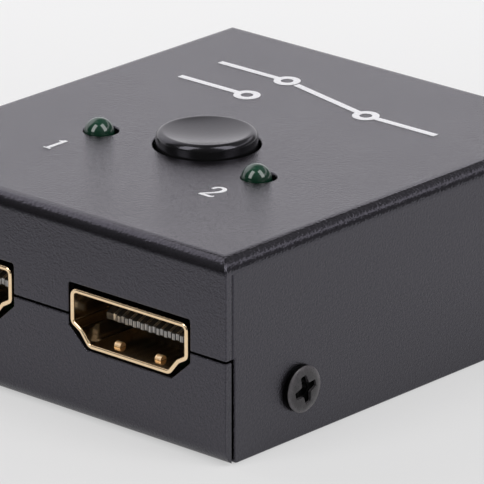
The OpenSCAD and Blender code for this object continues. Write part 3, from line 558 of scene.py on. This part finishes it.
def corner_paint():
    bm = bmesh.new()
    near, far = SLIT_Y - SLIT_HALF, SLIT_Y + SLIT_HALF
    for sx in (-1, 1):
        for sy in (-1, 1):
            rows = []
            for k in range(PAINT_STEPS + 1):
                z = SLIT_FOOT + (SLIT_TOP - SLIT_FOOT) * k / PAINT_STEPS
                rough = noise.noise(Vector((z * ROUGH_PER_MM, SEED_X * sx, SEED_Y * sy)))
                face = PAINT_FACE + FACE_ROUGH * rough
                groove = face - PAINT_SAG + SAG_ROUGH * rough
                outline = ((PAINT_BACK, near), (face, near), (groove, SLIT_Y), (face, far),
                           (PAINT_BACK, far))
                rows.append([bm.verts.new((sx * x * MM, sy * y * MM, z * MM)) for x, y in outline])
            bridge(bm, rows)
            bm.faces.new(rows[0])
            bm.faces.new(rows[-1])
    add_piece("corner_paint", bm, LOOKS["case_paint"], "case", sharp=40.0)


corner_paint()

# White ink on the top: the socket numbers, and a changeover switch symbol behind the button
INK_T, INK_LIFT = 0.03, 0.002    # thickness, and the step between strokes that cross
SAME_MM, SAME_M = 1e-6, 1e-8     # points closer than this are one


def smooth(points, steps=6):
    """Points with widths, joined by a curve that passes through all of them."""
    out = []
    last = len(points) - 1
    for i in range(last):
        p0, p1, p2, p3 = (Vector(points[min(max(k, 0), last)]) for k in range(i - 1, i + 3))
        for k in range(steps):
            t = k / steps
            out.append(0.5 * (2 * p1 + (p2 - p0) * t + (2 * p0 - 5 * p1 + 4 * p2 - p3) * t * t
                              + (3 * p1 - p0 - 3 * p2 + p3) * t ** 3))
    out.append(Vector(points[-1]))
    return out


def stroke(bm, points, lift):
    """Flat ribbon of ink along (x, y, width) points in mm, with its own small thickness."""
    closed = (Vector(points[0][:2]) - Vector(points[-1][:2])).length < SAME_MM
    foot, face = TOP_Z, TOP_Z + INK_T + lift
    rows = []
    for i, p in enumerate(points):
        before = points[i - 1] if i else (points[-2] if closed else p)
        after = points[i + 1] if i + 1 < len(points) else (points[1] if closed else p)
        run = Vector((after[0] - before[0], after[1] - before[1])).normalized()
        side = Vector((-run.y, run.x)) * p[2] / 2
        rows.append([bm.verts.new(((p[0] + s * side.x) * MM, (p[1] + s * side.y) * MM, z * MM))
                     for s, z in ((1, foot), (-1, foot), (-1, face), (1, face))])
    bridge(bm, rows)
    if not closed:
        bm.faces.new(rows[0])
        bm.faces.new(rows[-1][::-1])


def ink_piece(name, strokes):
    bm = bmesh.new()
    for i, points in enumerate(strokes):
        stroke(bm, points, lift=INK_LIFT * i)
    bmesh.ops.remove_doubles(bm, verts=bm.verts, dist=SAME_M)
    add_piece(name, bm, INK, "case")


def placed(strokes, x, y):
    return [[(p[0] + x, p[1] + y, p[2]) for p in points] for points in strokes]


ONE = [[(0.0, 0.0, 0.44), (0.0, 2.85, 0.4)],
       smooth([(0.05, 2.77, 0.22), (-0.25, 2.49, 0.28), (-0.52, 2.35, 0.15)]),
       [(-0.44, 0.1, 0.2), (0.44, 0.1, 0.2)]]
TWO = [smooth([(0.06, 1.98, 0.32), (0.12, 2.4, 0.32), (0.42, 2.69, 0.32), (0.82, 2.73, 0.38),
               (1.17, 2.49, 0.44), (1.28, 2.08, 0.46), (1.16, 1.62, 0.4), (0.88, 1.16, 0.32),
               (0.5, 0.7, 0.28), (0.1, 0.25, 0.25)]),
       smooth([(0.0, 0.17, 0.34), (0.75, 0.18, 0.37), (1.3, 0.18, 0.35), (1.5, 0.29, 0.27),
               (1.6, 0.52, 0.15)])]
ONE_AT, TWO_AT = (-10.6, -14.65), (9.32, -14.7)
ink_piece("socket_number_1", placed(ONE, *ONE_AT))
ink_piece("socket_number_2", placed(TWO, *TWO_AT))

SIGN_Y, SIGN_GAP, SIGN_W = 13.4, 3.0, 0.72
RING_R, RING_STEPS = 1.0, 48
IN_X, OUT_X, LEAD = -7.0, 6.0, 8.0    # contacts on the left, the arm's pivot, and the leads' length
ARM_SHORT = 0.6                       # how far the arm ends before the contact's ring


def ring(x, y):
    turns = [math.radians(360.0 * k / RING_STEPS) for k in range(RING_STEPS + 1)]
    return [(x + RING_R * math.cos(t), y + RING_R * math.sin(t), SIGN_W) for t in turns]


def line(start, end):
    return [(*start, SIGN_W), (*end, SIGN_W)]


def changeover_sign():
    """Two contacts with leads on the left, and an arm from its pivot to one of them."""
    heights = (SIGN_Y + SIGN_GAP, SIGN_Y - SIGN_GAP)
    run = Vector((IN_X - OUT_X, SIGN_GAP)).normalized()
    reach = math.hypot(IN_X - OUT_X, SIGN_GAP) - RING_R - ARM_SHORT
    sign = [ring(IN_X, y) for y in heights]
    sign += [line((IN_X - RING_R - LEAD, y), (IN_X - RING_R, y)) for y in heights]
    sign += [ring(OUT_X, SIGN_Y),
             line((OUT_X + run.x * RING_R, SIGN_Y + run.y * RING_R),
                  (OUT_X + run.x * reach, SIGN_Y + run.y * reach)),
             line((OUT_X + RING_R, SIGN_Y), (OUT_X + RING_R + LEAD, SIGN_Y))]
    ink_piece("changeover_sign", sign)


changeover_sign()

# Lamps, in metres and watts
BOX_DISTANCE, BOX_HEIGHT, BOX_AIM = 0.75, 0.75, (0.0, 0.0, 0.01)


def softbox(name, direction, width, power):
    data = bpy.data.lights.new(name, "AREA")
    data.shape = "RECTANGLE"
    data.size, data.size_y = width, BOX_HEIGHT
    data.energy = power
    obj = show(name, data)
    obj.location = Vector(direction).normalized() * BOX_DISTANCE
    obj.rotation_euler = (Vector(BOX_AIM) - obj.location).to_track_quat("-Z", "Y").to_euler()


softbox("front_box", (-0.14, -0.72, 0.68), width=0.34, power=3.1)
softbox("right_box", (0.66, 0.09, 0.74), width=0.36, power=3.2)

# Studio round the part: each light is made of ramps, as (direction, start, end, low, high)
AWAY = (-0.669, 0.743, 0.0)           # from the camera past the part
PHOTO_LEFT = (-0.66, -0.75, 0.0)
WALL_EDGE = ((-0.53, 0.848, 0.0), 0.07, 0.11)
WALL = (((-0.784, 0.024, -0.62), -0.14, 0.12), WALL_EDGE, (DOWN, -0.95, -0.82, 0.0, 0.97))
WINDOW = (((-0.64, 0.06, 0.766), 0.855, 0.875), WALL_EDGE,
          ((-0.5, -0.866, 0.0), -0.05, 0.12, 0.0, 0.35))
STRIP = ((UP, 0.4, 0.42), (DOWN, -0.6, -0.57), ((0.5, 0.866, 0.0), 0.6, 0.64))
ROOM = ((UP, 0.3, 0.6, 0.06, 0.14), ((0.77, 0.64, 0.0), 0.0, 0.5, 0.0, 0.12))
STUDIO_TINT = (1.0, 0.975, 1.025)
HORIZON = (DOWN, -0.1, -0.03, 0.0, 0.9)
HORIZON_BEHIND = (AWAY, -0.1, 0.3)
HORIZON_IN_GLOSS = 1.3

# Floor: where its paleness changes, in metres, and the share of it that no shadow takes away
FLOOR_HALF, FLOOR_CELLS, FLOOR_Z = 3.0, 8, -0.00005
FLOOR_AWAY, FLOOR_LEFT, FLOOR_LEFT_LOSS = (-0.1, 0.12), (0.08, 0.125), 0.8
FLOOR_PALE, FLOOR_PALE_IN_GLOSS = 0.65, 0.35


def pale_rays(tree, to_camera, to_gloss):
    """Share of a pale background in the rays to the camera, to gloss and through glass."""
    path = tree.nodes.new("ShaderNodeLightPath").outputs
    shares = {"Is Camera Ray": to_camera, "Is Glossy Ray": to_gloss,
              "Is Transmission Ray": to_gloss}
    parts = [math_node(tree, "MULTIPLY", path[kind], share) for kind, share in shares.items()]
    return math_node(tree, "MAXIMUM", *parts)


def studio_world():
    """Wall and window behind and to the left, a strip at the rear right, a dim room elsewhere."""
    world = bpy.data.worlds.new("studio")
    bpy.context.scene.world = world
    world.use_nodes = True
    tree = world.node_tree
    tree.nodes.clear()
    out = tree.nodes.new("ShaderNodeOutputWorld")
    back = tree.nodes.new("ShaderNodeBackground")
    tree.links.new(back.outputs[0], out.inputs[0])
    coords = tree.nodes.new("ShaderNodeTexCoord").outputs["Generated"]

    def ramp(direction, *limits):
        reach = vector_node(tree, "DOT_PRODUCT", coords, direction)
        return range_node(tree, reach, *limits, ease="SMOOTHSTEP")

    def join(kind, ramps):
        return math_node(tree, kind, *(ramp(*r) for r in ramps))

    lights = [join("MULTIPLY", WALL), join("MULTIPLY", WINDOW), join("ADD", ROOM),
              join("MULTIPLY", STRIP)]
    tinted = vector_node(tree, "SCALE", STUDIO_TINT, math_node(tree, "ADD", *lights))
    low = ramp(*HORIZON)
    seen = math_node(tree, "MULTIPLY", low, pale_rays(tree, 1.0, 0.0))
    mirrored = math_node(tree, "MULTIPLY", low, ramp(*HORIZON_BEHIND),
                         pale_rays(tree, 0.0, HORIZON_IN_GLOSS))
    horizon = math_node(tree, "MAXIMUM", seen, mirrored)
    tree.links.new(vector_node(tree, "MAXIMUM", tinted, horizon), back.inputs["Color"])
    back.inputs["Strength"].default_value = 1.0


studio_world()


def floor_paper():
    """Pale paper, lighter away from the camera, and darker far left where gloss mirrors it."""
    s = Shader("floor_paper")
    away = vector_node(s.tree, "DOT_PRODUCT", s.coords, AWAY)
    shade = s.ramp(s.span(away, 0.0, 1.0, *FLOOR_AWAY),
                   [(0.0, grey(0.705)), (0.45, grey(0.765)), (1.0, grey(0.92))])
    left = vector_node(s.tree, "DOT_PRODUCT", s.coords, PHOTO_LEFT)
    lost = s.math("MULTIPLY", s.span(left, 0.0, FLOOR_LEFT_LOSS, *FLOOR_LEFT),
                  pale_rays(s.tree, 0.0, 1.0))
    shade = vector_node(s.tree, "SCALE", shade, s.math("SUBTRACT", 1.0, lost))
    s.feed("Base Color", shade)
    s.feed("Normal", s.bump(s.noise(0.8, detail=3.0), depth_mm=0.004))
    s.set(Roughness=0.9, Specular_IOR_Level=0.1)
    glow = s.add("ShaderNodeEmission")
    s.link(shade, glow.inputs["Color"])
    mix = s.add("ShaderNodeMixShader")
    s.link(pale_rays(s.tree, FLOOR_PALE, FLOOR_PALE_IN_GLOSS), mix.inputs["Fac"])
    s.link(s.bsdf.outputs[0], mix.inputs[1])
    s.link(glow.outputs[0], mix.inputs[2])
    s.link(mix.outputs[0], s.out.inputs["Surface"])
    return s.mat


bm = bmesh.new()
bmesh.ops.create_grid(bm, x_segments=FLOOR_CELLS, y_segments=FLOOR_CELLS, size=FLOOR_HALF)
floor_mesh = bpy.data.meshes.new("floor")
bm.to_mesh(floor_mesh)
bm.free()
floor_mesh.materials.append(floor_paper())
floor = show("floor", floor_mesh)
floor.location.z = FLOOR_Z

# Camera fitted to the photo's case edges, in metres and degrees
CAMERA_PLACE = (0.375016, -0.414922, 0.210604)
CAMERA_DOWN, CAMERA_TURN = 19.798, 41.979
LENS_MM, SENSOR_MM = 451.46, 36.0
CLIP_START, CLIP_END = 0.01, 20.0

camera_data = bpy.data.cameras.new("camera")
camera_data.sensor_fit = "HORIZONTAL"
camera_data.sensor_width = SENSOR_MM
camera_data.lens = LENS_MM
camera_data.clip_start = CLIP_START
camera_data.clip_end = CLIP_END
camera = show("camera", camera_data)
camera.location = CAMERA_PLACE
camera.rotation_euler = (math.radians(90.0 - CAMERA_DOWN), 0.0, math.radians(CAMERA_TURN))
bpy.context.scene.camera = camera

bpy.context.scene.view_settings.view_transform = "Standard"
